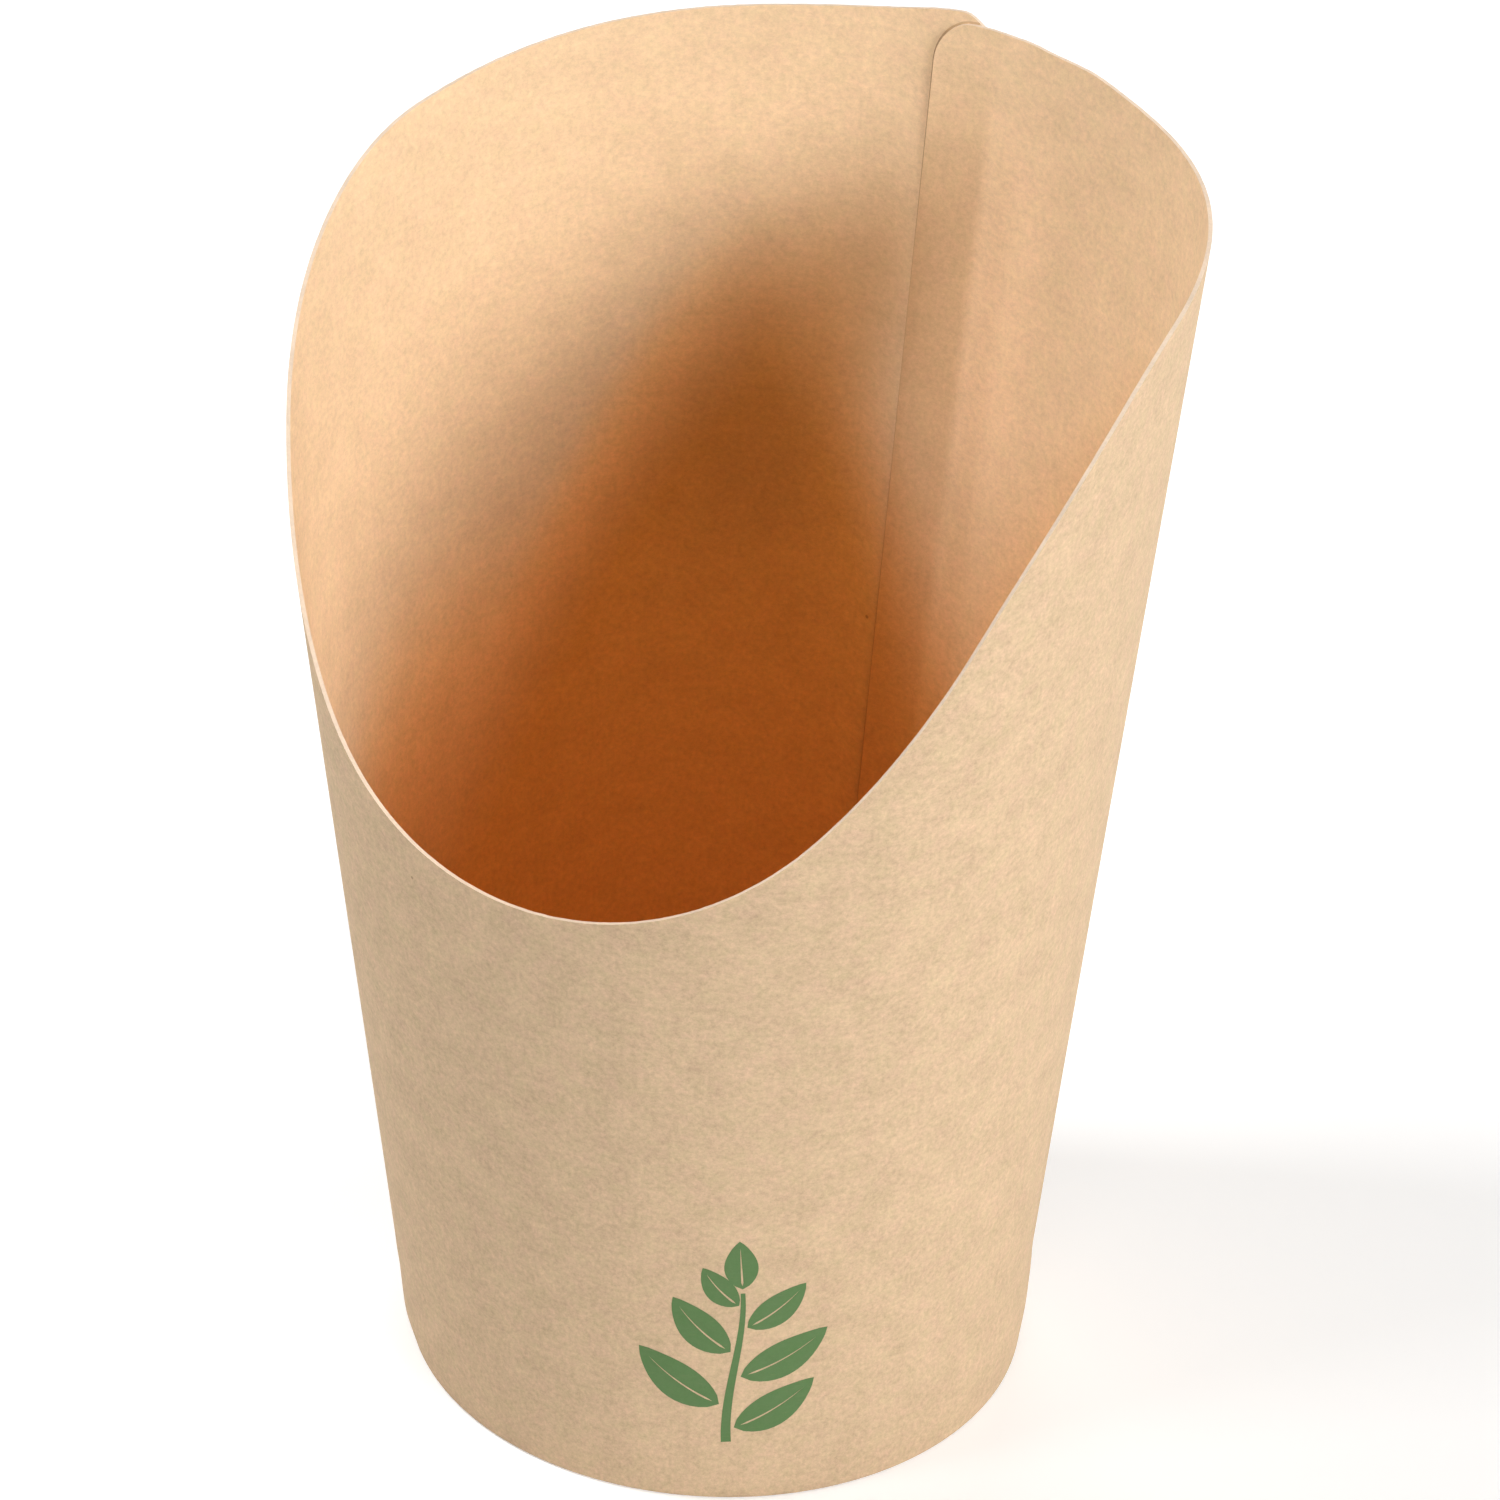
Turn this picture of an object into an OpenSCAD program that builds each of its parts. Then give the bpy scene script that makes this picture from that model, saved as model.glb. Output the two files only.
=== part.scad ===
// Paper wrap cup. One die-cut sheet is rolled into a tapered wall with a scooped mouth,
// lapped and glued up the back. Its lower edge turns in round the skirt of a paper bottom.
// Millimetres, +Z up. The origin is the centre of the foot on the table, the low side of
// the mouth faces -Y and the lapped seam runs up the +Y side.

/* [Wall] */
// Outer diameter at the foot
foot_d = 64; // [50:0.5:80]
// Mean growth of the outer radius for each millimetre of height
taper = 0.1076; // [0.06:0.002:0.16]
// Thickness of the paper
paper_t = 0.4; // [0.3:0.05:0.6]

/* [Out of round] */
// How far the wall leans to one side at the height of the back
lean = 2.1; // [0:0.1:4]
// Direction of the lean, counted from the low front towards +X
lean_deg = -75.4; // [-180:0.1:180]
// How far the mouth is oval at the height of the back
oval = 2; // [0:0.1:4]
// Direction of the oval's long side
oval_deg = 17.2; // [-90:0.1:90]
// Size of the three soft corners that the free mouth has
three = 0.45; // [0:0.05:2]
// Direction of one of the three corners
three_deg = -52.6; // [-60:0.1:60]
// Size of the four soft corners that the free mouth has
four = 1.15; // [0:0.05:2]
// Direction of one of the four corners
four_deg = 43.4; // [-45:0.1:45]

/* [Mouth] */
// Height of the mouth at its low front
low_h = 70.3; // [50:0.1:90]
// Height of the mouth at the back
back_h = 128.85; // [100:0.05:160]
// How far below the low front the straight rising edge would meet the wall
scoop_drop = 4; // [0.5:0.1:8]
// Steepness of the rising edge seen from the side
rise_deg = 62.7; // [45:0.1:70]
// Steepness of the back edge seen from the side
back_deg = 7.2; // [2:0.1:20]
// Radius of the shoulder between the rising edge and the back edge
shoulder_r = 38.9; // [20:0.1:60]
// Radius that levels the edge out at the low front
scoop_r = 60; // [20:1:80]
// How far the edge lifts towards the seam
seam_lift = 2; // [0:0.1:4]
// How far round from the seam this lift reaches
lift_deg = 16.4; // [8:0.1:30]

/* [Seam] */
// Direction of the outer free edge, counted from +X towards +Y
seam_deg = 90.6; // [80:0.1:100]
// Width of the glued lap, as an angle
lap_deg = 7.9; // [5.5:0.1:12]
// Width of the jog that takes the inner sheet under the outer one, as an angle
jog_deg = 6; // [3:0.5:10]
// Radius of the cut corners at the top of the seam
corner_r = 4; // [2:0.1:6]
// How much lower the flap ends than the outer sheet at the seam
flap_drop = 0.8; // [0:0.1:2]
// How far round this difference fades out, as an angle
fade_deg = 26; // [14:1:60]

/* [Foot] */
// Height of the bottom's upper face above the table
floor_h = 8.6; // [6:0.2:12]
// Radius of the bend between the floor and its skirt
bend_r = 1; // [0.7:0.1:1.5]
// Radius of the fold where the wall turns in at the table
fold_r = 0.45; // [0.4:0.05:0.6]
// Thickness of the glue line in the lap and on each side of the skirt
glue_t = 0.05; // [0.03:0.01:0.1]
// Gap under the lower edge of the skirt
skirt_gap = 0.15; // [0.1:0.05:0.4]
// Distance from the floor's upper face down to the edge of the turned-in hem
hem_drop = 1.4; // [1:0.1:3]

/* [Hidden] */
$fn = 144;
foot_r = foot_d / 2;
// Paper measured along a level line through the sloping wall
level_t = paper_t * sqrt(1 + taper * taper);
// Room between the wall and the turned-in hem
slot_w = level_t + 2 * glue_t;
// The foot's ring ends and the lapped wall begins just above the floor
ring_h = floor_h + 0.15;
// Outer radius at the back and at the low front
back_r = foot_r + taper * back_h;
low_r = foot_r + taper * low_h;
// How far the sheet reaches down into the foot's ring, how proud the pressed ring is,
// and how far the jog and the flap stay above it
root_h = 0.6;
proud = 0.04;
clear_h = 0.05;
// The free wall goes out of round from here up
base_h = ring_h - root_h;
// Steps round the wall, of the jog, of the lap, of the cut corners and of the small bends
round_steps = 150;
jog_steps = 10;
lap_steps = 4;
corner_steps = 8;
bend_steps = 8;
craft = [0.80, 0.66, 0.50];
craft_pale = [0.85, 0.72, 0.56];

// Outer radius of the wall at a height
function wall_r(z) = foot_r + taper * z;
// Points along an arc in the section plane
function arc(c, r, a0, a1, n = bend_steps) = [
    for (i = [0 : n]) c + r * [
        cos(a0 + (a1 - a0) * i / n),
        sin(a0 + (a1 - a0) * i / n)
    ]
];
function dot(a, b) = a[0] * b[0] + a[1] * b[1];
// Smooth step from 0 to 1
function ease(f) = let (g = min(max(f, 0), 1)) g * g * (3 - 2 * g);

// Mouth seen from the side: two straight edges, a shoulder and a scoop
rise_dir = [cos(rise_deg), sin(rise_deg)];
rise_up = [-sin(rise_deg), cos(rise_deg)];
back_dir = [cos(back_deg), sin(back_deg)];
back_up = [-sin(back_deg), cos(back_deg)];
rise_at = [-low_r, low_h - scoop_drop];
back_at = [back_r, back_h - seam_lift];
rise_c = dot(rise_up, rise_at) - shoulder_r;
back_c = dot(back_up, back_at) - shoulder_r;
turn = sin(back_deg - rise_deg);
shoulder_at = [
    (rise_c * back_up[1] - rise_up[1] * back_c) / turn,
    (rise_up[0] * back_c - back_up[0] * rise_c) / turn
];
shoulder_start = shoulder_at + shoulder_r * rise_up;
shoulder_end = shoulder_at + shoulder_r * back_up;
// The scoop's curve passes through the low front and runs into the rising edge
low_gap = scoop_drop * cos(rise_deg);
low_run = sqrt(2 * scoop_r * low_gap - low_gap * low_gap);
scoop_end = rise_at + (scoop_drop * sin(rise_deg) + low_run) * rise_dir;
scoop_at = scoop_end + scoop_r * rise_up;

// Height of the edge of the mouth seen from the side, at a distance towards +Y
function edge_h(y) =
    y < scoop_end[0]
        ? scoop_at[1] - sqrt(max(scoop_r * scoop_r - pow(y - scoop_at[0], 2), 0))
    : y < shoulder_start[0] ? scoop_end[1] + (y - scoop_end[0]) * tan(rise_deg)
    : y < shoulder_end[0]
        ? shoulder_at[1] + sqrt(max(shoulder_r * shoulder_r - pow(y - shoulder_at[0], 2), 0))
    : shoulder_end[1] + (y - shoulder_end[0]) * tan(back_deg);
// Height of the edge in a direction, where the side view crosses the round wall
function cross_h(a, z = low_h, n = 16) =
    n == 0 ? z : cross_h(a, edge_h(wall_r(z) * sin(a)), n - 1);
// The angle between a direction and the back
function from_back(a) = abs((a - 90) - 360 * round((a - 90) / 360));
function mouth_h(a) = cross_h(a) + seam_lift * exp(-pow(from_back(a) / lift_deg, 2));

// How far the free wall stands out of round in a direction, at the height of the back
function swell(a) =
    let (q = a + 90)
    lean * cos(q - lean_deg) + oval * cos(2 * (q - oval_deg))
    + three * cos(3 * (q - three_deg)) + four * cos(4 * (q - four_deg));
function free_r(a, z) = wall_r(z) + swell(a) * (z - base_h) / (back_h - base_h);

// The sheet runs from its outer free edge once round, over the jog and on to the end of
// the flap; u is the angle along it
jog_from = 360 - jog_deg;
sheet_end = 360 + lap_deg;
corner_deg = corner_r / back_r * 180 / PI;
corner_turns = [for (i = [0 : corner_steps]) corner_deg * (1 - cos(90 * i / corner_steps))];
turns = concat(
    corner_turns,
    [for (i = [1 : round_steps]) corner_deg + (jog_from - corner_deg) * i / round_steps],
    [for (i = [1 : jog_steps]) jog_from + jog_deg * i / jog_steps],
    [for (i = [1 : lap_steps]) 360 + (lap_deg - corner_deg) * i / lap_steps],
    [for (i = [corner_steps - 1 : -1 : 0]) sheet_end - corner_turns[i]]
);
// The jog leads the sheet in by one thickness and the glue
function inset(u) = (level_t + glue_t) * ease((u - jog_from) / jog_deg);
// How far a rounded corner takes the edge down, at a distance from the free edge
function corner_fall(s) =
    s < corner_r ? corner_r - sqrt(max(corner_r * corner_r - pow(corner_r - s, 2), 0)) : 0;
function corner_run(u) = min(u, sheet_end - u) * PI / 180 * back_r;
function top_h(u) =
    mouth_h(seam_deg + u) - corner_fall(corner_run(u))
    - flap_drop * ease((u - sheet_end + fade_deg) / (fade_deg - lap_deg - jog_deg));
function low_end(u) = u > jog_from + 0.01 ? ring_h + clear_h : base_h;

/* [Output] */
// Every sub-part of the cup
// Sub-part to draw, or all of them

// The rolled sheet above the foot's ring, one column of four corners at each turn
module rolled_sheet() {
    last = len(turns) - 1;
    points = [
        for (u = turns)
            for (corner = [[1, low_end(u)], [0, low_end(u)], [0, top_h(u)], [1, top_h(u)]])
                let (
                    a = seam_deg + u,
                    r = free_r(a, corner[1]) - inset(u) - corner[0] * level_t
                )
                [r * cos(a), r * sin(a), corner[1]]
    ];
    sides = [
        for (i = [0 : last - 1])
            for (j = [0 : 3])
                let (k = (j + 1) % 4)
                for (tri = [
                    [4 * i + j, 4 * i + 4 + k, 4 * i + 4 + j],
                    [4 * i + j, 4 * i + k, 4 * i + 4 + k]
                ])
                tri
    ];
    ends = [
        [0, 2, 1],
        [0, 3, 2],
        [4 * last, 4 * last + 1, 4 * last + 2],
        [4 * last, 4 * last + 2, 4 * last + 3]
    ];
    polyhedron(points = points, faces = concat(sides, ends), convexity = 6);
}

// The foot's ring: wall, fold at the table and turned-in hem, open at the top for the skirt
module foot_ring() {
    outer = wall_r(fold_r);
    inner = outer - 2 * level_t - slot_w;
    hem_h = floor_h - hem_drop;
    rotate_extrude()
        polygon(concat(
            arc([inner + fold_r, fold_r], fold_r, 180, 270),
            arc([outer - fold_r, fold_r], fold_r, 270, 360),
            [
                [wall_r(ring_h) + proud, ring_h],
                [wall_r(ring_h) - level_t - proud, ring_h],
                [wall_r(ring_h - root_h) - level_t - proud, ring_h - root_h - 0.2],
                [wall_r(paper_t) - level_t, paper_t],
                [wall_r(paper_t) - level_t - slot_w, paper_t],
                [wall_r(hem_h) - level_t - slot_w, hem_h],
                [wall_r(hem_h) - 2 * level_t - slot_w, hem_h]
            ]
        ));
}

module side_wall() {
    color(craft) {
        foot_ring();
        rolled_sheet();
    }
}

// Flat paper floor with its rim bent down into a skirt
module bottom_disc() {
    bend_h = floor_h - bend_r;
    skirt_h = paper_t + skirt_gap;
    skirt_r = wall_r(bend_h) - level_t - glue_t;
    skirt_low = wall_r(skirt_h) - level_t - glue_t;
    bend_at = [skirt_r - bend_r, bend_h];
    color(craft_pale)
        rotate_extrude()
            polygon(concat(
                [[0, floor_h - paper_t], [bend_at[0], floor_h - paper_t]],
                arc(bend_at, bend_r - paper_t, 90, 0),
                [[skirt_low - paper_t, skirt_h], [skirt_low, skirt_h]],
                arc(bend_at, bend_r, 0, 90),
                [[0, floor_h]]
            ));
}

side_wall();
bottom_disc();
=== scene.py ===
import math

import bpy
from mathutils import Matrix, Vector, noise


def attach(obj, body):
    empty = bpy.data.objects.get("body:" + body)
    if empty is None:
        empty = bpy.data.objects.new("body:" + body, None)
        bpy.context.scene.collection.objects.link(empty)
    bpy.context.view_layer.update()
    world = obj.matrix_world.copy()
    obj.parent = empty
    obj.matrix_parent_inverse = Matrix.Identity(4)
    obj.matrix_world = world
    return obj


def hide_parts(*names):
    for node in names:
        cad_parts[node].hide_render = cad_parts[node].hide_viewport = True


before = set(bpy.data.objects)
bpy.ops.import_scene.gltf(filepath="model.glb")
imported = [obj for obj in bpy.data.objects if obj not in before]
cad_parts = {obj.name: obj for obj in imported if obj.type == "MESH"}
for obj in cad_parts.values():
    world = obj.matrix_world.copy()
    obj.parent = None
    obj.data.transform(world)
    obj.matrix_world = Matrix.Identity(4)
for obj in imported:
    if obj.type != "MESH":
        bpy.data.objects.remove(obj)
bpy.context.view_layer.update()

mm = 0.001
print("frame loaded:", sorted(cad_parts))

# All sizes in the dictionaries are in mm and degrees. Directions are counted
# counter-clockwise from the low front of the mouth, seen from above.

# Shape of the rolled sheet

sheet = {
    "footRadius": 32.0,      # outer radius at the table
    "taper": 0.1076,         # mean growth of the radius for each mm of height
    "paper": 0.4,            # thickness of the paper
    # the free mouth is never quite round: lobes, size at the back's height, direction
    "swell": ((1, 2.1, -75.4), (2, 2.0, 17.2), (3, 0.45, -52.6), (4, 1.15, 43.4)),
    "swellFrom": 8.15,       # the foot below this stays round
    # the foot stands a little aside, over a slight waist: the direction, how far, the
    # heights this fades over on the far and the near side of the cup's axis
    "asideToward": 116.0,
    "aside": 0.32,
    "asideFades": ((0.0, 3.0), (4.0, 13.0)),
    "waist": (0.09, 0.17, 0.0009),  # its depth, its lean and the lean lost for each mm
    "freeEdge": 179.4,       # direction of the outer free edge of the seam
    "lap": 9.1,              # width of the glued lap
    "endLift": 0.2,          # how much the outer end's top stands up before its corner
    "endLiftFade": (7.0, 16.0),     # degrees from the free edge over which this ends
    "endDrop": 1.75,         # how far its corner sinks before it turns down
    "endCorner": 4.8,        # width of this corner
    "endTurn": 0.12,         # share of this width in which it turns down
    "jog": 6.0,              # width of the step that leads the sheet inside
    "glue": 0.02,            # gap between the lapped sheets
    "corner": 4.0,           # radius of the cut corner at the top of the flap
    "cornerSteps": 10,       # mesh columns round a corner
    "flapLift": 0.05,        # how far the flap's free edge stands off
    "flapLiftReach": 1.6,    # degrees this takes
    "flapLiftRise": (15.0, 40.0),   # heights over which it sets in
    "flapDrop": 0.8,         # how much lower the flap ends than the outer sheet
    "flapDropFade": 26.0,    # how far round this difference fades out
    "foldRadius": 0.45,      # fold at the table
    "foldLeast": 0.06,       # least radius of its inner face
    "slot": 0.5,             # room in the fold for the bottom's skirt
    "hemTop": 7.2,           # free edge of the turned-in hem
    "pressTop": 8.4,         # upper border of the pressed foot band
    "pressDepth": 0.09,      # how far the foot band is pressed in
    "pressSoft": (0.7, 0.9),        # how far below and above its border this fades
    "columnStep": 0.75,      # spacing of the mesh columns, in degrees
    "hemRows": 5,            # mesh rows of the hem, of each half of the fold,
    "foldRows": 5,
    "footRows": 12,          # of the foot, up to so far over its band,
    "footRowsOver": 6.0,
    "wallRows": 46,          # and of the wall above it
    "darkColumns": 5,        # columns of the flap's corner whose cut edge is painted dark as shade
}

mouth = {
    "front": 70.3,           # height of the low front
    "back": 128.85,          # height at the back
    "scoopDrop": 4.0,        # how far the rising edge would undercut the front
    "rise": 62.7,            # steepness of the rising edge, from the side
    "fall": 7.2,             # steepness of the back edge, from the side
    "shoulder": 38.9,        # radius between the two
    "scoop": 60.0,           # radius that levels the edge at the front
    "seamLift": 2.0,         # how far the edge lifts towards the seam
    "liftReach": 16.4,       # how far round this lift reaches
    "fray": 0.035,           # roughness of the cut edge
    # its waves for each degree, and the place in the noise that they come from
    "frayWaves": ((1.7, 0.0, 3.0), (0.6, 7.0, 0.0)),
    "settleRounds": 24,      # rounds in which the edge's height and radius settle
}


def mouthProfile():
    rise, fall = math.radians(mouth["rise"]), math.radians(mouth["fall"])
    lowRadius = sheet["footRadius"] + sheet["taper"] * mouth["front"]
    backRadius = sheet["footRadius"] + sheet["taper"] * mouth["back"]
    riseUp = Vector((-math.sin(rise), math.cos(rise)))
    fallUp = Vector((-math.sin(fall), math.cos(fall)))
    riseAt = Vector((-lowRadius, mouth["front"] - mouth["scoopDrop"]))
    backAt = Vector((backRadius, mouth["back"] - mouth["seamLift"]))
    riseLevel = riseUp.dot(riseAt) - mouth["shoulder"]
    backLevel = fallUp.dot(backAt) - mouth["shoulder"]
    turn = math.sin(fall - rise)
    shoulderAt = Vector((
        (riseLevel * fallUp.y - riseUp.y * backLevel) / turn,
        (riseUp.x * backLevel - fallUp.x * riseLevel) / turn,
    ))
    gap = mouth["scoopDrop"] * math.cos(rise)
    run = math.sqrt(2 * mouth["scoop"] * gap - gap * gap)
    scoopEnd = riseAt + (mouth["scoopDrop"] * math.sin(rise) + run) * Vector(
        (math.cos(rise), math.sin(rise)))
    scoopAt = scoopEnd + mouth["scoop"] * riseUp
    shoulderStart = shoulderAt + mouth["shoulder"] * riseUp
    shoulderEnd = shoulderAt + mouth["shoulder"] * fallUp

    def height(y):
        if y < scoopEnd.x:
            side = y - scoopAt.x
            return scoopAt.y - math.sqrt(max(mouth["scoop"] ** 2 - side ** 2, 0))
        if y < shoulderStart.x:
            return scoopEnd.y + (y - scoopEnd.x) * math.tan(rise)
        if y < shoulderEnd.x:
            side = y - shoulderAt.x
            return shoulderAt.y + math.sqrt(mouth["shoulder"] ** 2 - side ** 2)
        return shoulderEnd.y + (y - shoulderEnd.x) * math.tan(fall)

    return height


profileHeight = mouthProfile()


def smooth(low, high, value):
    f = min(max((value - low) / (high - low), 0.0), 1.0)
    return f * f * (3 - 2 * f)


def rimHeight(turn):
    # the strip runs past a full turn, so its flap lies under its own start
    side = math.cos(math.radians(turn))
    z = mouth["front"]
    for _ in range(mouth["settleRounds"]):
        z = profileHeight(-(sheet["footRadius"] + sheet["taper"] * z) * side)
    away = abs(turn % 360.0 - 180.0)
    return z + mouth["seamLift"] * math.exp(-(away / mouth["liftReach"]) ** 2)


def wallRadius(turn, z):
    r = sheet["footRadius"] + sheet["taper"] * z
    share = (z - sheet["swellFrom"]) / (mouth["back"] - sheet["swellFrom"])
    for lobes, size, toward in sheet["swell"] if share > 0 else ():
        r += size * share * math.cos(math.radians(lobes * (turn - toward)))
    side = math.cos(math.radians(turn - sheet["asideToward"]))
    far, near = sheet["asideFades"]
    above = smooth(*(near if side > 0 else far), z)
    deep, lean, lost = sheet["waist"]
    r += side * ((1 - above) * sheet["aside"] - above * (lean - lost * z))
    r -= deep * smooth(*near, z)
    # the foot band is pressed where the hem grips the bottom
    top = sheet["pressTop"]
    under, over = sheet["pressSoft"]
    return r - sheet["pressDepth"] * (1 - smooth(top - under, top + over, z))


def place(turn, radius, z):
    a = math.radians(turn)
    return Vector((radius * math.sin(a), -radius * math.cos(a), z)) * mm


seamStart = sheet["freeEdge"]
jogStart = seamStart + 360.0 - sheet["jog"]
jogEnd = seamStart + 360.0
seamEnd = jogEnd + sheet["lap"]
stepIn = sheet["paper"] + sheet["glue"]


def inset(turn):
    return stepIn * smooth(jogStart, jogEnd, turn)


def lapShare(turn):
    # 1 where two sheets lie in the foot, with a soft step on either side
    around = (turn - seamStart) % 360.0
    inLap = 1 - smooth(sheet["lap"], sheet["lap"] + sheet["jog"], around)
    return max(inLap, smooth(360.0 - sheet["jog"], 360.0, around))


def flapLift(turn, z):
    # the free edge of the flap curls away from the wall, above the foot only
    near = smooth(seamEnd - sheet["flapLiftReach"], seamEnd, turn)
    return sheet["flapLift"] * near * near * smooth(*sheet["flapLiftRise"], z)


def stripColumns():
    # close columns at the rounded corners and over the jog
    cornerTurn = math.degrees(sheet["corner"] / wallRadius(180.0, mouth["back"]))
    steps = sheet["cornerSteps"]
    bend = [cornerTurn * (1 - math.cos(math.radians(90.0 / steps * i))) for i in range(steps + 1)]
    turns = [seamStart + b for b in bend]
    stop = seamEnd - bend[-1]
    span = stop - turns[-1]
    count = round(span / sheet["columnStep"])
    first = turns[-1]
    turns += [first + span * i / count for i in range(1, count)]
    turns += [seamEnd - b for b in reversed(bend)]
    return turns


def stripTop(turn):
    z = rimHeight(turn)
    z -= sheet["flapDrop"] * smooth(seamEnd - sheet["flapDropFade"], jogStart, turn)
    z += sheet["endLift"] * (1 - smooth(*sheet["endLiftFade"], turn - seamStart))
    r = sheet["corner"]
    run = math.radians(seamEnd - turn) * wallRadius(turn, z)
    if run < r:
        z -= r - math.sqrt(max(r * r - (r - run) ** 2, 0.0))
    r = sheet["endCorner"]
    run = math.radians(turn - seamStart) * wallRadius(turn, z)
    if run < r:
        # the outer corner sinks in a soft curve and turns down at its free edge
        sink, last = sheet["endDrop"], sheet["endTurn"] * r
        z -= sink * smooth(last, r, last + r - max(run, last))
        if run < last:
            z -= (r - sink) * (1 - math.sqrt(max(1 - (1 - run / last) ** 2, 0.0)))
    rough = sum(noise.noise(Vector((turn * waves, a, b))) for waves, a, b in mouth["frayWaves"])
    return z - mouth["fray"] * (1 + rough)


def stripSection(turn, depth):
    # one column: from the hem's free edge down, round the fold at the table and up the
    # wall to the mouth, at a depth below the outer face
    t, slot = sheet["paper"], sheet["slot"] + 2 * stepIn * lapShare(turn)
    bend = max(sheet["foldRadius"] - depth, sheet["foldLeast"])

    def leg(z):
        return wallRadius(turn, z) - 2 * t - slot + depth

    points = []
    for i in range(sheet["hemRows"]):
        z = sheet["hemTop"] + (depth + bend - sheet["hemTop"]) * i / sheet["hemRows"]
        points.append((leg(z), z))
    inner, outer = leg(bend) + bend, wallRadius(turn, bend) - depth - bend
    step = 90.0 / (sheet["foldRows"] - 1)
    for middle, first in ((inner, 180.0), (outer, 270.0)):
        for i in range(sheet["foldRows"]):
            a = math.radians(first + step * i)
            points.append((middle + bend * math.cos(a), depth + bend + bend * math.sin(a)))
    low, top = sheet["pressTop"] + sheet["footRowsOver"], stripTop(turn)
    start = depth + bend
    for i in range(1, sheet["footRows"] + 1):
        z = start + (low - start) * i / sheet["footRows"]
        points.append((wallRadius(turn, z) - depth, z))
    for i in range(1, sheet["wallRows"] + 1):
        z = low + (top - low) * i / sheet["wallRows"]
        points.append((wallRadius(turn, z) - depth - flapLift(turn, z), z))
    return points


# Paper

paper = {
    "pale": (0.765, 0.552, 0.353),   # lightest patches of the kraft, outside
    "deep": (0.385, 0.274, 0.173),   # darkest patches, outside
    "calmInside": 0.68,              # strength of the mottling inside, against the outside
    "mottle": 1.5,                   # size of the mottling, patches per mm
    "pinkish": (1.03, 0.985, 1.02),  # the two hues that the kraft drifts between
    "yellowish": (0.97, 1.015, 0.955),
    "drift": 0.4,                    # size of this drift, patches per mm
    "fibreShare": 0.06,              # strength of the fibres
    "insidePaintedLightAndShade": (1.43, 1.46, 1.46),    # painted light: the inside is paler, most at the mouth
    "deepPaintedShade": (1.34, 0.83, 0.29),      # painted shade: darker and warmer the deeper it lies
    "deepFrom": 42.0,                # depth below the mouth's edge where this starts
    "deepFade": 52.0,                # and the depth it fades over
    "deepRise": 1.1,                 # it starts higher for each degree right of the lap,
    "deepRiseAt": (171.4, 145.0, 100.0),    # from the first to the next, and none from the last
    # painted shade at the back, which lies deepest and where the rim keeps the lamps' light off,
    # starts higher:
    # its direction, where it starts, how much lower for each degree away, left and right,
    # how round its top is on either side and the depth it fades over, left and right, with
    # the degrees between the two
    "backToward": 202.0,
    "backFrom": 15.0,
    "backSpread": (1.1, 1.9),
    "backRound": (14.0, 2.4),
    "backFade": (26.0, 34.0),
    "backFadeTurn": (-2.0, 8.0),
    # painted shade, warmer where the back's painted shade fades on the left: tint, and degrees
    # from the back over which it sets in
    "warmFade": (1.16, 1.05, 0.88),
    "warmFadeTurn": (3.0, 23.0),
    # a darker core of painted shade: tint, and then its direction, depth and sizes
    "core": (0.81, 0.80, 0.84),
    "coreAt": (209.0, 47.0, 10.0, 8.0),
    # a greyer shade between it and the lap: tint, direction, width, depths it fades over
    "beforeLap": (0.77, 0.66, 0.55),
    "beforeLapAt": (195.0, 6.0),
    "beforeLapDepths": (12.0, 28.0, 30.0, 48.0),
    # light comes through one sheet beside the lap: tint, degrees and depths it fades over
    "besideLap": (1.15, 1.13, 1.15),
    "besideFrom": 16.0,
    "besideTo": 5.0,
    "besideDepths": (4.0, 16.0, 38.0, 54.0),
    # two sheets let less light through than one
    "lapTint": (0.89, 0.83, 0.77),
    "lapSoft": 1.4,                  # degrees this fades over at the outer free edge
    "lapDepth": 22.0,                # depth below the mouth's edge at which it is full
    "cut": (0.84, 0.66, 0.50),       # cut edge, paler than the face
    "shadedFlapEdge": (0.22, 0.13, 0.075),        # cut edge of the flap, painted dark as shade
    "shadedEdgeDull": 0.8,                 # its darkest patches against this
    "fibre": (0.50, 0.33, 0.19),     # dark fibres
    "speck": (0.20, 0.12, 0.06),     # stray bark specks
    "roughness": 0.82,
    "bump": 0.35,                    # strength of the tooth of the paper
}


outsideTint = (1.0, 1.0, 1.0, 1.0)     # the last number is the strength of the mottling


def within(depths, depth):
    first, full, leaves, last = depths
    return smooth(first, full, depth) * (1 - smooth(leaves, last, depth))


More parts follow.
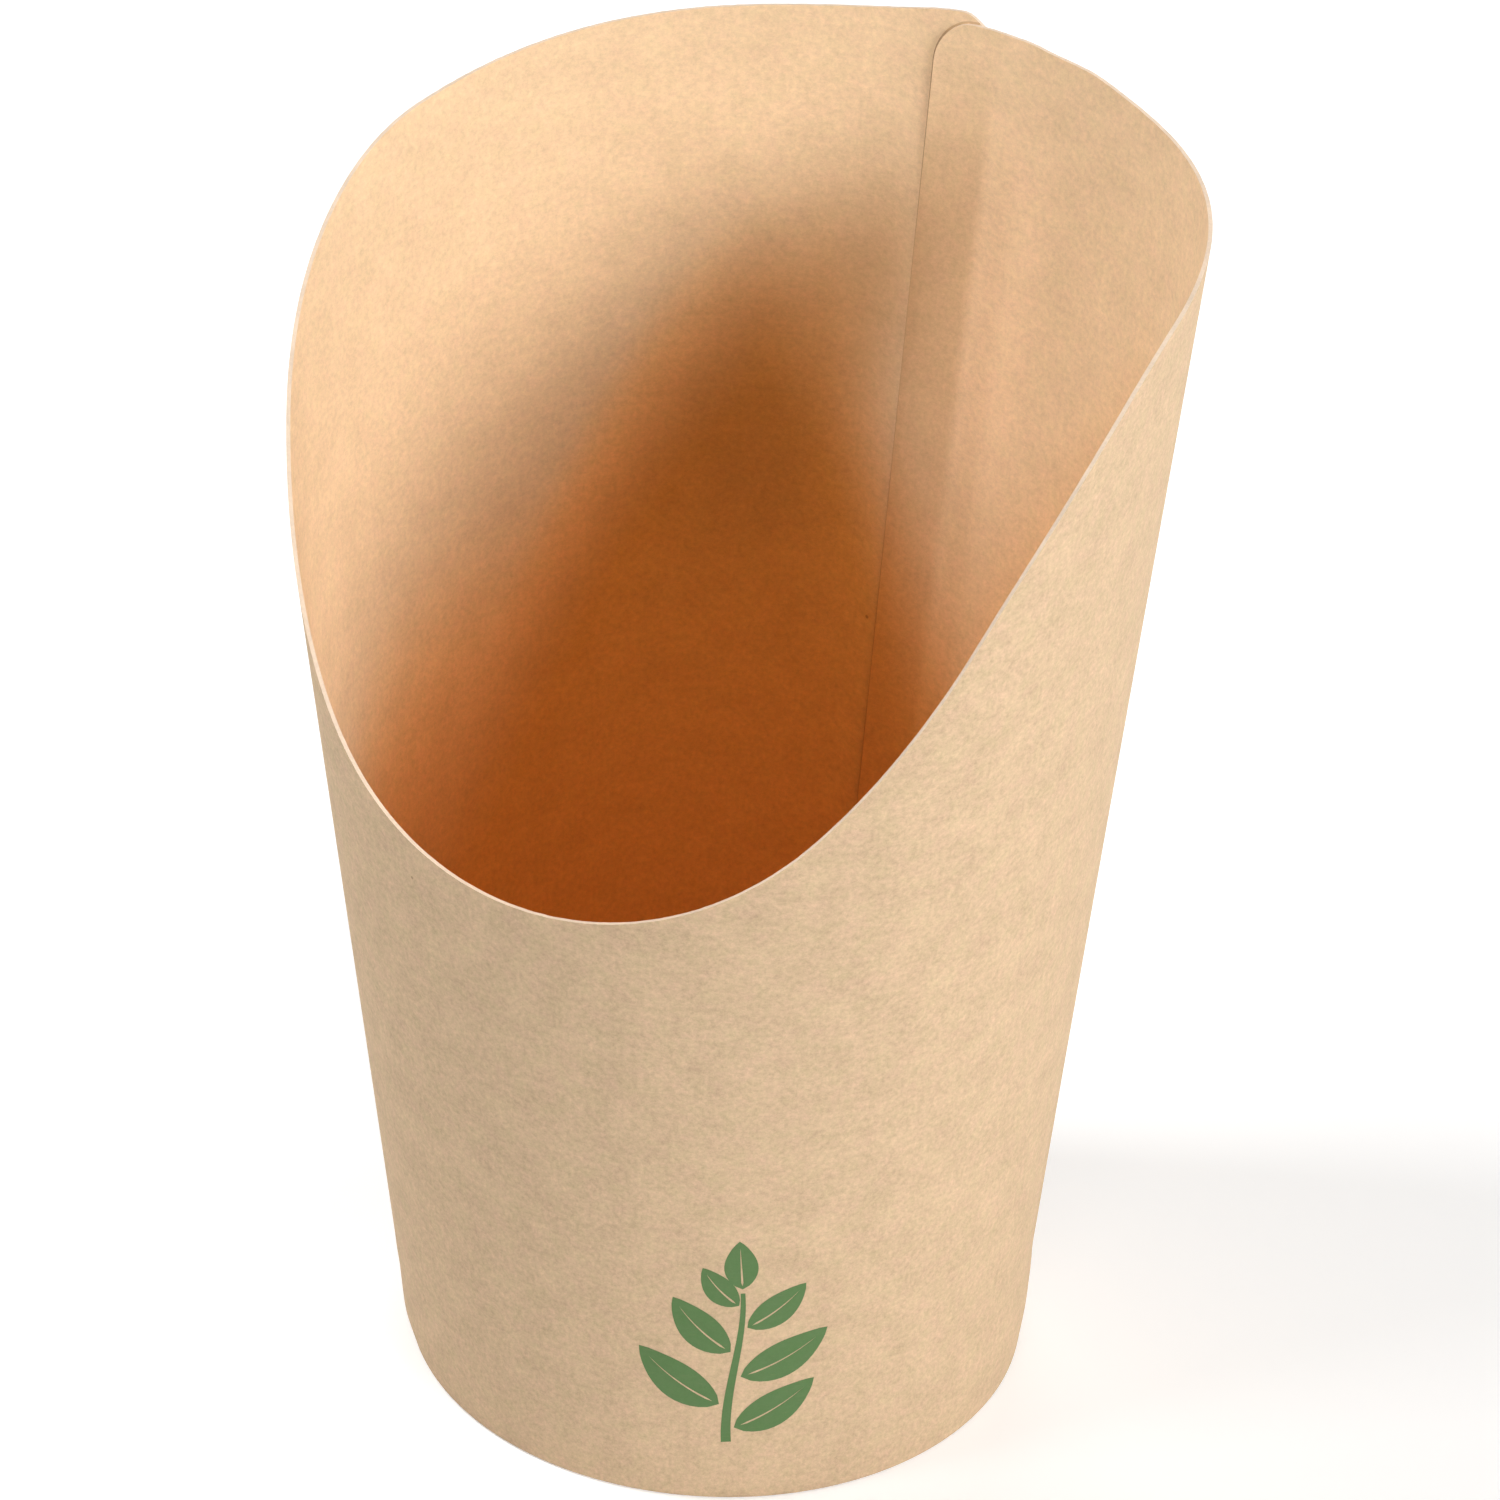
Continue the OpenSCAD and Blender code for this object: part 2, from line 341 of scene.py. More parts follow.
def insidePaintedLightAndShade(turn, depth):
    # painted light and shade of the inside, by direction and depth below the mouth's edge
    around = turn % 360.0
    away = (turn - paper["backToward"] + 180.0) % 360.0 - 180.0
    side = 0 if away > 0 else 1
    bow = math.hypot(away, paper["backRound"][side]) - paper["backRound"][side]
    start = paper["backFrom"] + paper["backSpread"][side] * bow
    fade, wideFade = paper["backFade"]
    fade = wideFade + (fade - wideFade) * smooth(*paper["backFadeTurn"], away)
    back = smooth(start, start + fade, depth)
    first, full, last = paper["deepRiseAt"]
    rise = min(max(first - around, 0.0), first - full) * smooth(last, full, around)
    start = paper["deepFrom"] - paper["deepRise"] * rise
    share = 1 - (1 - back) * (1 - smooth(start, start + paper["deepFade"], depth))
    # this reaches 1 where the deep tint has a share of a third
    left = 27 / 4 * share * (1 - share) ** 2 * smooth(*paper["warmFadeTurn"], away)
    toward, at, wide, high = paper["coreAt"]
    core = math.exp(-(((around - toward) / wide) ** 2 + ((depth - at) / high) ** 2) / 2)
    toward, wide = paper["beforeLapAt"]
    grey = math.exp(-((around - toward) / wide) ** 2 / 2) * within(paper["beforeLapDepths"], depth)
    double = smooth(jogEnd - paper["lapSoft"], jogEnd + paper["lapSoft"], turn)
    beside = smooth(jogEnd - paper["besideFrom"], jogEnd - paper["besideTo"], turn) * (1 - double)
    beside *= within(paper["besideDepths"], depth)
    double *= smooth(0.0, paper["lapDepth"], depth)
    shades = (("lapTint", double), ("besideLap", beside), ("warmFade", left), ("core", core))
    tint = []
    for i in range(3):
        tone = paper["insidePaintedLightAndShade"][i] * (1 + (paper["beforeLap"][i] - 1) * grey)
        tone += (paper["deepPaintedShade"][i] - tone) * share
        for name, much in shades:
            tone *= 1 + (paper[name][i] - 1) * much
        tint.append(tone)
    return (*tint, paper["calmInside"])


# Meshes

paperFace, cutFace, shadedEdgeFace = 0, 1, 2      # places of the finishes on a piece
sharpFrom = 40.0             # degrees between faces from which an edge is sharp
mapRadius = 38.0             # turns directions into mm on the map of the paper's grain
# each sheet lies elsewhere on this map, so no two show the same patches
mapShift = {"inside": 400.0, "bottom": 900.0, "underside": 200.0, "flapShadowLine": 1400.0}


def sheetMesh(name, vertices, faces, finish, maps, tints=None):
    mesh = bpy.data.meshes.new(name)
    mesh.from_pydata(vertices, [], faces)
    shade = mesh.attributes.new("tint", "FLOAT_COLOR", "POINT")
    for i, tint in enumerate(tints or [outsideTint] * len(vertices)):
        shade.data[i].color = tint
    layer = mesh.uv_layers.new(name="paperMap")
    for loop in mesh.loops:
        layer.data[loop.index].uv = maps[loop.vertex_index]
    mesh.polygons.foreach_set("material_index", finish)
    mesh.polygons.foreach_set("use_smooth", [True] * len(faces))
    mesh.set_sharp_from_angle(angle=math.radians(sharpFrom))
    mesh.update()
    piece = bpy.data.objects.new(name, mesh)
    bpy.context.scene.collection.objects.link(piece)
    return piece


def buildWall():
    turns = stripColumns()
    vertices, maps, faces, finish, tints = [], [], [], [], []
    sides = []
    for side in (0, 1):
        grid = []
        for turn in turns:
            depth = inset(turn) + side * sheet["paper"]
            column, run, last, top = [], 0.0, None, rimHeight(turn)
            for r, z in stripSection(turn, depth):
                if last:
                    run += math.hypot(r - last[0], z - last[1])
                last = (r, z)
                column.append(len(vertices))
                vertices.append(place(turn, r, z))
                maps.append((math.radians(turn) * mapRadius + mapShift["inside"] * side, run))
                tints.append(insidePaintedLightAndShade(turn, top - z) if side else outsideTint)
            grid.append(column)
        sides.append(grid)
    outer, inner = sides
    rows = len(outer[0])
    # the top of the flap's corner and its free edge are painted dark as shade
    dark = len(turns) - 1 - sheet["darkColumns"]
    for i in range(len(turns) - 1):
        for j in range(rows - 1):
            faces.append((outer[i][j], outer[i + 1][j], outer[i + 1][j + 1], outer[i][j + 1]))
            faces.append((inner[i][j], inner[i][j + 1], inner[i + 1][j + 1], inner[i + 1][j]))
            finish += [paperFace, paperFace]
        for j, flip in ((rows - 1, False), (0, True)):
            loop = (outer[i][j], outer[i + 1][j], inner[i + 1][j], inner[i][j])
            faces.append(loop[::-1] if flip else loop)
            finish.append(shadedEdgeFace if i >= dark and j else cutFace)
    for i, flip in ((0, True), (len(turns) - 1, False)):
        for j in range(rows - 1):
            loop = (outer[i][j], inner[i][j], inner[i][j + 1], outer[i][j + 1])
            faces.append(loop[::-1] if flip else loop)
            finish.append(cutFace if flip else shadedEdgeFace)
    return sheetMesh("paperWall", vertices, faces, finish, maps, tints)


flapShadowLine = {
    "width": 0.24,           # of the painted shadow line that shows beside the flap's free edge
    "tuck": 0.2,             # how far it reaches under the flap
    "lift": 0.012,           # above the sheet that it lies on
    "dark": (0.44, 0.38, 0.36),      # tint at the top of the flap
    "faint": (0.80, 0.74, 0.68),     # and further down
    "fadeFrom": 4.0,         # depths below the mouth's edge between the two
    "fadeTo": 30.0,
    "round": 6.0,            # degrees before the free edge at which it starts
    "endOver": 8.0,          # its lower end above the foot band
    "steps": 60,             # mesh steps down the edge
}


def buildFlapShadowLine():
    # a ribbon of painted shadow round the corner of the flap and down its free edge
    corner = [turn for turn in stripColumns() if turn > seamEnd - flapShadowLine["round"]]
    path = [(turn, stripTop(turn)) for turn in corner]
    turn, top = path[-1]
    low, steps = sheet["pressTop"] + flapShadowLine["endOver"], flapShadowLine["steps"]
    path += [(turn, top + (low - top) * i / steps) for i in range(1, steps + 1)]
    vertices, faces, tints, maps = [], [], [], []
    for i, (turn, z) in enumerate(path):
        before, after = path[max(i - 1, 0)], path[min(i + 1, len(path) - 1)]
        r = wallRadius(turn, z)
        along = Vector((math.radians(after[0] - before[0]) * r, after[1] - before[1]))
        along = along.normalized()
        out = Vector((-along.y, along.x))
        depth = rimHeight(turn) - z
        fade = smooth(flapShadowLine["fadeFrom"], flapShadowLine["fadeTo"], depth)
        # painted light and shade: palest on the top of the corner, darkest on its side
        fade = max(fade, out.y)
        for reach in (-flapShadowLine["tuck"], flapShadowLine["width"]):
            t, h = turn + math.degrees(out.x * reach / r), z + out.y * reach
            radius = wallRadius(t, h) - sheet["paper"] - flapShadowLine["lift"]
            vertices.append(place(t, radius, h))
            base = insidePaintedLightAndShade(t - 360.0, depth)
            tint = [c * (a + (b - a) * fade)
                    for c, a, b in zip(base, flapShadowLine["dark"], flapShadowLine["faint"])]
            tints.append((*tint, paper["calmInside"]))
            maps.append((math.radians(t) * mapRadius + mapShift["flapShadowLine"], h))
    for i in range(len(path) - 1):
        faces.append((2 * i, 2 * i + 1, 2 * i + 3, 2 * i + 2))
    return sheetMesh("flapShadowLine", vertices, faces, [paperFace] * len(faces), maps, tints)


bottom = {
    "floor": 8.6,            # upper face above the table
    "bend": 1.0,             # radius where the floor turns down into its skirt
    "skirtLow": 0.62,        # lower edge of the skirt
    "glue": 0.05,            # glue line between the skirt and the wall
    "sag": 0.12,             # how far the middle of the floor sinks
    "columns": 180,          # mesh columns round it
    "rings": 16,             # mesh rings of the floor, rows of its bend and of its skirt
    "bendRows": 5,
    "skirtRows": 4,
}


def buildBottom():
    t, bendRows, skirtRows = sheet["paper"], bottom["bendRows"], bottom["skirtRows"]
    vertices, maps, faces, finish, tints = [], [], [], [], []
    rows = []
    turns = [360.0 * i / bottom["columns"] for i in range(bottom["columns"])]
    # the floor inside is painted with the full deep shade
    floorPaintedShade = (*paper["deepPaintedShade"], paper["calmInside"])

    def section(turn, side):
        # from the middle outwards, over the bend and down the skirt
        shut = t + bottom["glue"] + stepIn * lapShare(turn)
        bendAt = bottom["floor"] - bottom["bend"]
        reach = wallRadius(turn, bendAt) - shut - bottom["bend"]
        depth = side * t
        points = []
        for k in range(1, bottom["rings"] + 1):
            f = k / bottom["rings"]
            z = bottom["floor"] - depth - bottom["sag"] * (1 - f * f)
            points.append((reach * f, z))
        for k in range(1, bendRows + 1):
            a = math.radians(90.0 - 90.0 / bendRows * k)
            r = bottom["bend"] - depth
            points.append((reach + r * math.cos(a), bendAt + r * math.sin(a)))
        for k in range(1, skirtRows + 1):
            z = bendAt + (bottom["skirtLow"] - bendAt) * k / skirtRows
            points.append((wallRadius(turn, z) - shut - depth, z))
        return points

    for side in (0, 1):
        grid = []
        tint = outsideTint if side else floorPaintedShade
        shift = mapShift["underside"] * side
        for turn in turns:
            column = []
            for r, z in section(turn, side):
                column.append(len(vertices))
                at = place(turn, r, z)
                vertices.append(at)
                drop = max(bottom["floor"] - z - bottom["bend"], 0.0) * mm
                out = Vector((at.x, at.y)).normalized() * drop
                across = (at.x + out.x) / mm + mapShift["bottom"] + shift
                maps.append((across, (at.y + out.y) / mm))
                tints.append(tint)
            grid.append(column)
        middle = len(vertices)
        vertices.append(Vector((0, 0, bottom["floor"] - side * t - bottom["sag"])) * mm)
        maps.append((mapShift["bottom"] + shift, 0.0))
        tints.append(tint)
        rows.append((grid, middle))
    (upper, upperMiddle), (lower, lowerMiddle) = rows
    count = bottom["columns"]
    for i in range(count):
        n = (i + 1) % count
        faces.append((upperMiddle, upper[i][0], upper[n][0]))
        faces.append((lowerMiddle, lower[n][0], lower[i][0]))
        finish += [paperFace, paperFace]
        for j in range(len(upper[0]) - 1):
            faces.append((upper[i][j], upper[i][j + 1], upper[n][j + 1], upper[n][j]))
            faces.append((lower[i][j], lower[n][j], lower[n][j + 1], lower[i][j + 1]))
            finish += [paperFace, paperFace]
        faces.append((upper[i][-1], lower[i][-1], lower[n][-1], upper[n][-1]))
        finish.append(cutFace)
    return sheetMesh("paperBottom", vertices, faces, finish, maps, tints)


def newMaterial(name):
    material = bpy.data.materials.new(name)
    material.use_nodes = True
    tree = material.node_tree
    shader = tree.nodes["Principled BSDF"]
    return material, tree, shader


def node(tree, kind, label, sockets=None, **settings):
    made = tree.nodes.new(kind)
    made.label = label
    for key, value in settings.items():
        setattr(made, key, value)
    for key, value in (sockets or {}).items():
        made.inputs[key].default_value = value
    return made


def noiseAt(tree, where, label, scale, detail, rough=0.5):
    sockets = {"Scale": scale, "Detail": detail, "Roughness": rough}
    made = node(tree, "ShaderNodeTexNoise", label, sockets)
    tree.links.new(where, made.inputs["Vector"])
    return made.outputs["Fac"]


def ramp(tree, value, label, low, high, outLow=0.0, outHigh=1.0):
    sockets = {"From Min": low, "From Max": high, "To Min": outLow, "To Max": outHigh}
    made = node(tree, "ShaderNodeMapRange", label, sockets)
    tree.links.new(value, made.inputs["Value"])
    return made.outputs["Result"]


def mixColour(tree, share, a, b, label, mode="MIX"):
    made = node(tree, "ShaderNodeMix", label, data_type="RGBA", blend_type=mode)
    for socket, value in ((made.inputs[0], share), (made.inputs[6], a), (made.inputs[7], b)):
        if isinstance(value, (int, float)):
            socket.default_value = value
        elif isinstance(value, tuple):
            socket.default_value = (*value, 1.0)
        else:
            tree.links.new(value, socket)
    return made.outputs[2]


def bumpTo(tree, shader, height, label, strength, depth):
    bump = node(tree, "ShaderNodeBump", label, {"Strength": strength, "Distance": depth})
    tree.links.new(height, bump.inputs["Height"])
    tree.links.new(bump.outputs["Normal"], shader.inputs["Normal"])


def maths(tree, kind, a, b, label):
    made = node(tree, "ShaderNodeMath", label, operation=kind)
    for socket, value in ((made.inputs[0], a), (made.inputs[1], b)):
        if isinstance(value, (int, float)):
            socket.default_value = value
        else:
            tree.links.new(value, socket)
    return made.outputs[0]


# how the kraft is built up from noise, in patches per mm of the sheet
kraftGrain = {
    "mottleNoise": (5.0, 0.86),      # layers of the mottling and how strong its fine ones are
    "clouds": (0.22, 2.0, 0.7),      # size, layers and strength of the soft clouds in it
    "cloudShare": 0.30,
    "tones": (0.35, 0.95),           # noise at which the paper is deep and pale
    "driftNoise": (5.0, 0.82),
    "hues": (0.34, 0.66),            # noise at which it is pinkish and yellowish
    "fibreSets": ((22, 3), (112, 17)),      # direction of each set of fibres and its shift
    "fibreSlant": 0.6,               # share of this shift along the other axis
    "fibreSize": (0.55, 5.5, 1.0),   # along and across
    "fibreLayers": 2.0,
    "fibreCut": 0.36,                # share of the noise that shows as fibres
    "fibreSoft": 0.12,
    "fibreHeight": 0.3,
    "specks": 0.15,                  # cells for each mm; a few of them hold a speck
    "speckSize": (0.018, 0.034),
    "speckCells": (0.90, 0.91),
    "speckShare": 0.6,
    "roughTones": (0.3, 0.7),        # noise at which it is smoothest and roughest
    "smoother": 0.05,                # how much smoother and rougher than paper's roughness
    "rougher": 0.06,
    "toothDepth": 0.00004,           # metres
    "gloss": 0.3,
}


def fibreMask(tree, where, label, angle, shift):
    # short streaks: noise stretched along one direction and cut off near its peak
    turned = node(tree, "ShaderNodeMapping", label + " direction", {
        "Rotation": (0, 0, math.radians(angle)),
        "Location": (shift, shift * kraftGrain["fibreSlant"], 0),
        "Scale": kraftGrain["fibreSize"],
    })
    tree.links.new(where, turned.inputs["Vector"])
    streak = noiseAt(tree, turned.outputs["Vector"], label, 1.0, kraftGrain["fibreLayers"])
    start = 1 - kraftGrain["fibreCut"]
    return ramp(tree, streak, label + " cut-off", start, start + kraftGrain["fibreSoft"])


def calmed(tree, value, label, ends, tint, calmLabel):
    # the noise from -0.5 to 0.5, made weaker where the tint says so, and back to 0 to 1
    swing = ramp(tree, value, label, *ends, -0.5, 0.5)
    calm = maths(tree, "MULTIPLY", swing, tint.outputs["Alpha"], calmLabel)
    return maths(tree, "ADD", calm, 0.5, calmLabel + " share")


def withSpecks(tree, where, colour):
    speckles = node(tree, "ShaderNodeTexVoronoi", "specks", {"Scale": kraftGrain["specks"]})
    tree.links.new(where, speckles.inputs["Vector"])
    pick = node(tree, "ShaderNodeSeparateColor", "one cell in some")
    tree.links.new(speckles.outputs["Color"], pick.inputs["Color"])
    distance = speckles.outputs["Distance"]
    near = ramp(tree, distance, "speck size", *kraftGrain["speckSize"], 1.0, 0.0)
    few = ramp(tree, pick.outputs["Red"], "few cells", *kraftGrain["speckCells"])
    speck = maths(tree, "MULTIPLY", near, few, "speck mask")
    share = maths(tree, "MULTIPLY", speck, kraftGrain["speckShare"], "speck share")
    return mixColour(tree, share, colour, paper["speck"], "with specks")


def kraftLook(tree, shader, pale, deep):
    where = node(tree, "ShaderNodeUVMap", "place on the sheet", uv_map="paperMap").outputs["UV"]
    grain = noiseAt(tree, where, "mottle and grain", paper["mottle"], *kraftGrain["mottleNoise"])
    cloud = noiseAt(tree, where, "clouds", *kraftGrain["clouds"])
    cloud = maths(tree, "MULTIPLY", cloud, kraftGrain["cloudShare"], "cloud share")
    tone = maths(tree, "ADD", grain, cloud, "tone")
    tint = node(tree, "ShaderNodeAttribute", "tint of the inside", attribute_name="tint")
    share = calmed(tree, tone, "contrast", kraftGrain["tones"], tint, "strength")
    colour = mixColour(tree, share, deep, pale, "kraft")
    drift = noiseAt(tree, where, "colour drift", paper["drift"], *kraftGrain["driftNoise"])
    share = calmed(tree, drift, "drift", kraftGrain["hues"], tint, "sway")
    hue = mixColour(tree, share, paper["pinkish"], paper["yellowish"], "pink to yellow")
    colour = mixColour(tree, 1.0, colour, hue, "drifting", "MULTIPLY")
    masks = [fibreMask(tree, where, "fibres %d" % i, angle, shift)
             for i, (angle, shift) in enumerate(kraftGrain["fibreSets"])]
    fibres = maths(tree, "MAXIMUM", masks[0], masks[1], "fibres")
    share = maths(tree, "MULTIPLY", fibres, paper["fibreShare"], "fibre share")
    colour = mixColour(tree, share, colour, paper["fibre"], "with fibres")
    colour = withSpecks(tree, where, colour)
    # the inside's painted light and shade tint the kraft here
    colour = mixColour(tree, 1.0, colour, tint.outputs["Color"], "tinted", "MULTIPLY")
    tree.links.new(colour, shader.inputs["Base Color"])
    smoothest = paper["roughness"] - kraftGrain["smoother"]
    roughest = paper["roughness"] + kraftGrain["rougher"]
    rough = ramp(tree, grain, "roughness", *kraftGrain["roughTones"], smoothest, roughest)
    tree.links.new(rough, shader.inputs["Roughness"])
    ridges = maths(tree, "MULTIPLY", fibres, kraftGrain["fibreHeight"], "fibre height")
    height = maths(tree, "ADD", grain, ridges, "height")
    bumpTo(tree, shader, height, "paper tooth", paper["bump"], kraftGrain["toothDepth"])
    shader.inputs["Specular IOR Level"].default_value = kraftGrain["gloss"]


def kraftMaterial():
    material, tree, shader = newMaterial("kraftPaper")
    kraftLook(tree, shader, paper["pale"], paper["deep"])
    return material


cutFuzz = {
    "fuzz": (2600.0, 3.0, 0.7),      # torn fibres: size per metre, layers, strength
    "patches": (300.0, 2.0),
    "dull": 0.82,                    # darkest patches against paper's cut
    "tones": (0.35, 0.65),           # noise at which it is dull and pale
    "roughTones": (0.3, 0.7),
    "roughness": (0.85, 0.98),
    "bump": 0.6,
    "bumpDepth": 0.00006,            # metres
    "gloss": 0.2,
}


def cutMaterial():
    material, tree, shader = newMaterial("cutPaper")
    where = node(tree, "ShaderNodeTexCoord", "place").outputs["Object"]
    fuzz = noiseAt(tree, where, "fuzz", *cutFuzz["fuzz"])
    patch = noiseAt(tree, where, "patches", *cutFuzz["patches"])
    dull = tuple(c * cutFuzz["dull"] for c in paper["cut"])
    both = maths(tree, "MULTIPLY", maths(tree, "ADD", fuzz, patch, "both"), 0.5, "mean")
    share = ramp(tree, both, "contrast", *cutFuzz["tones"])
    colour = mixColour(tree, share, dull, paper["cut"], "cut edge")
    tree.links.new(colour, shader.inputs["Base Color"])
    rough = ramp(tree, fuzz, "roughness", *cutFuzz["roughTones"], *cutFuzz["roughness"])
    tree.links.new(rough, shader.inputs["Roughness"])
    bumpTo(tree, shader, fuzz, "torn fibres", cutFuzz["bump"], cutFuzz["bumpDepth"])
    shader.inputs["Specular IOR Level"].default_value = cutFuzz["gloss"]
    return material


def shadedFlapEdgeMaterial():
    # the flap's free edge inside, painted dark as shade
    material, tree, shader = newMaterial("shadedFlapEdge")
    dull = tuple(c * paper["shadedEdgeDull"] for c in paper["shadedFlapEdge"])
    kraftLook(tree, shader, paper["shadedFlapEdge"], dull)
    return material


kraft = kraftMaterial()
cutEdge = cutMaterial()
shadedFlapEdge = shadedFlapEdgeMaterial()
print("paper materials made")

wallPiece = buildWall()
bottomPiece = buildBottom()
for piece in (wallPiece, bottomPiece):
    piece.data.materials.append(kraft)
    piece.data.materials.append(cutEdge)
    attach(piece, "root")
wallPiece.data.materials.append(shadedFlapEdge)
linePiece = buildFlapShadowLine()
linePiece.data.materials.append(kraft)
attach(linePiece, "root")
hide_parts("side_wall")
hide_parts("bottom_disc")
for piece in (wallPiece, bottomPiece):
    print(piece.name, "made:", len(piece.data.polygons), "faces")


# Printed sprig

sprig = {
    "toward": 34.0,          # direction of its middle
    "low": 7.8,              # lower end above the table
    "proud": 0.02,           # thickness of the ink on the paper
    "ink": (0.078, 0.158, 0.050),           # green of the print
    "inkWorn": (0.112, 0.196, 0.078),       # and its paler patches
    # points that the stem's curve is drawn by, across and up
    "stem": ((-0.4, 0.0), (-1.0, 7.0), (1.0, 13.5), (0.4, 20.0)),
    "stemWidth": 1.0,
    "stemTaper": 0.55,       # share of this width that it loses towards its tip
    "stemSteps": 24,         # mesh steps along it
    # leaves: share of the stem, side, length, width, lean from the stem
    "leaves": (
        (0.08, 1, 10.6, 4.4, 68.0),
        (0.23, -1, 11.6, 4.6, 66.0),
        (0.42, 1, 11.0, 4.5, 64.0),
        (0.58, -1, 9.8, 4.1, 60.0),
        (0.75, 1, 8.4, 3.6, 56.0),
        (0.90, -1, 6.6, 3.0, 50.0),
        (1.0, 0, 6.8, 3.3, 8.0),
    ),
    "leafFrom": 0.08,        # gap between the stem and a leaf, as a share of its length
    "leafBend": 0.22,        # how far a leaf bends back towards the stem, in radians
    "leafShape": (0.85, 0.8),       # how far down its belly lies and how full it is
    "vein": 0.13,            # half width of the bare vein at its base
    "veinReach": (0.12, 0.85),      # shares of the leaf between which it shows
    "leafSteps": 14,         # mesh steps along a leaf and across its half
    "leafColumns": 4,
    "mapLift": 6.0,          # the wall's paper map starts at the hem, so it is this far ahead
}


def stemPoint(f):
    points = [Vector(p) for p in sprig["stem"]]
    a = [points[0].lerp(points[1], f), points[1].lerp(points[2], f), points[2].lerp(points[3], f)]
    b = [a[0].lerp(a[1], f), a[1].lerp(a[2], f)]
    return b[0].lerp(b[1], f)


def stemHeading(f):
    near = 0.01              # share of the stem on either side that gives its direction
    ahead = stemPoint(min(f + near, 1.0)) - stemPoint(max(f - near, 0.0))
    return math.atan2(ahead.x, ahead.y)


def onWall(x, up):
    z = sprig["low"] + up
    turn = sprig["toward"] + math.degrees(x / wallRadius(sprig["toward"], z))
    at = place(turn, wallRadius(turn, z) + sprig["proud"], z)
    return at, (math.radians(turn) * mapRadius, z + sprig["mapLift"])


def buildSprig():
    vertices, maps, faces = [], [], []

    def patch(grid):
        first = len(vertices)
        across = len(grid[0])
        for row in grid:
            for x, up in row:
                at, uv = onWall(x, up)
                vertices.append(at)
                maps.append(uv)
        for i in range(len(grid) - 1):
            for j in range(across - 1):
                a = first + i * across + j
                faces.append((a, a + 1, a + across + 1, a + across))

    stem = []
    for i in range(sprig["stemSteps"] + 1):
        f = i / sprig["stemSteps"]
        at, heading = stemPoint(f), stemHeading(f)
        half = sprig["stemWidth"] * (1 - sprig["stemTaper"] * f) / 2
        side = Vector((math.cos(heading), -math.sin(heading)))
        stem.append([(at + side * half * k)[:] for k in (-1, 0, 1)])
    patch(stem)
    belly, fullness = sprig["leafShape"]
    veinStart, veinEnd = sprig["veinReach"]
    start, columns = sprig["leafFrom"], sprig["leafColumns"]
    for share, side, length, width, lean in sprig["leaves"]:
        base, heading = stemPoint(share), stemHeading(share) + side * math.radians(lean)
        for half in (-1, 1):
            rows = []
            for i in range(sprig["leafSteps"] + 1):
                f = i / sprig["leafSteps"]
                bendBack = heading - side * sprig["leafBend"] * f
                along = Vector((math.sin(bendBack), math.cos(bendBack)))
                beside = Vector((along.y, -along.x))
                spread = 0.0
                if 0 < f < 1:
                    spread = width / 2 * math.sin(math.pi * f ** belly) ** fullness
                vein = sprig["vein"] * (1 - f) if veinStart < f < veinEnd else 0.0
                middle = base + along * length * (start + (1 - start) * f)
                reach = [spread] * (columns + 1)
                if spread > vein:
                    reach = [vein + (spread - vein) * k / columns for k in range(columns + 1)]
                rows.append([(middle + beside * half * w)[:] for w in reach])
            if half < 0:
                rows = [row[::-1] for row in rows]
            patch(rows)
    return sheetMesh("printedSprig", vertices, faces, [paperFace] * len(faces), maps)


def inkMaterial():
    material, tree, shader = newMaterial("greenInk")
    kraftLook(tree, shader, sprig["inkWorn"], sprig["ink"])
    return material


sprigPiece = buildSprig()
sprigPiece.data.materials.append(inkMaterial())
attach(sprigPiece, "root")
print("printed sprig made")


# Floor, light and camera

stage = {
    "floorSize": 6.0,        # metres
    "floorColour": (0.86, 0.86, 0.86),
    "floorRoughness": 0.9,
    "floorDrop": 0.00005,    # metres below the foot, so the two don't share a plane
    "floorLift": 0.32,       # white added for the camera, so the plain floor reads as white
    "ambient": 0.05,         # strength of the plain white light from all round
    "aimHeight": 0.07,       # metres above the table, where the lamps point
    # soft boxes: direction, height angle, distance and side in metres, watts
    "lamps": {
        "rightFront": (65.0, 18.0, 1.6, 0.4, 6.6),
        "rightSide": (80.0, 19.0, 1.6, 0.4, 12.5),
        "rightLow": (140.0, 10.0, 1.6, 0.4, 4.4),
        "rightHigh": (95.0, 32.0, 1.6, 0.4, 3.0),
        "rightTop": (125.0, 55.0, 1.6, 0.4, 0.9),
        "frontTop": (30.0, 60.0, 1.6, 0.4, 1.5),
        "leftFront": (-35.0, 25.0, 1.6, 0.4, 5.2),
        "leftTop": (-65.0, 55.0, 1.6, 0.4, 14.4),
        "behind": (210.0, 45.0, 1.6, 0.6, 3.8),
    },
}


def seenShare(tree):
    # 1 for what the camera sees, straight or in a reflection or through glass
    path = node(tree, "ShaderNodeLightPath", "kind of ray").outputs
    two = maths(tree, "MAXIMUM", path["Is Camera Ray"], path["Is Glossy Ray"], "seen or mirrored")
    return maths(tree, "MAXIMUM", two, path["Is Transmission Ray"], "seen in any way")


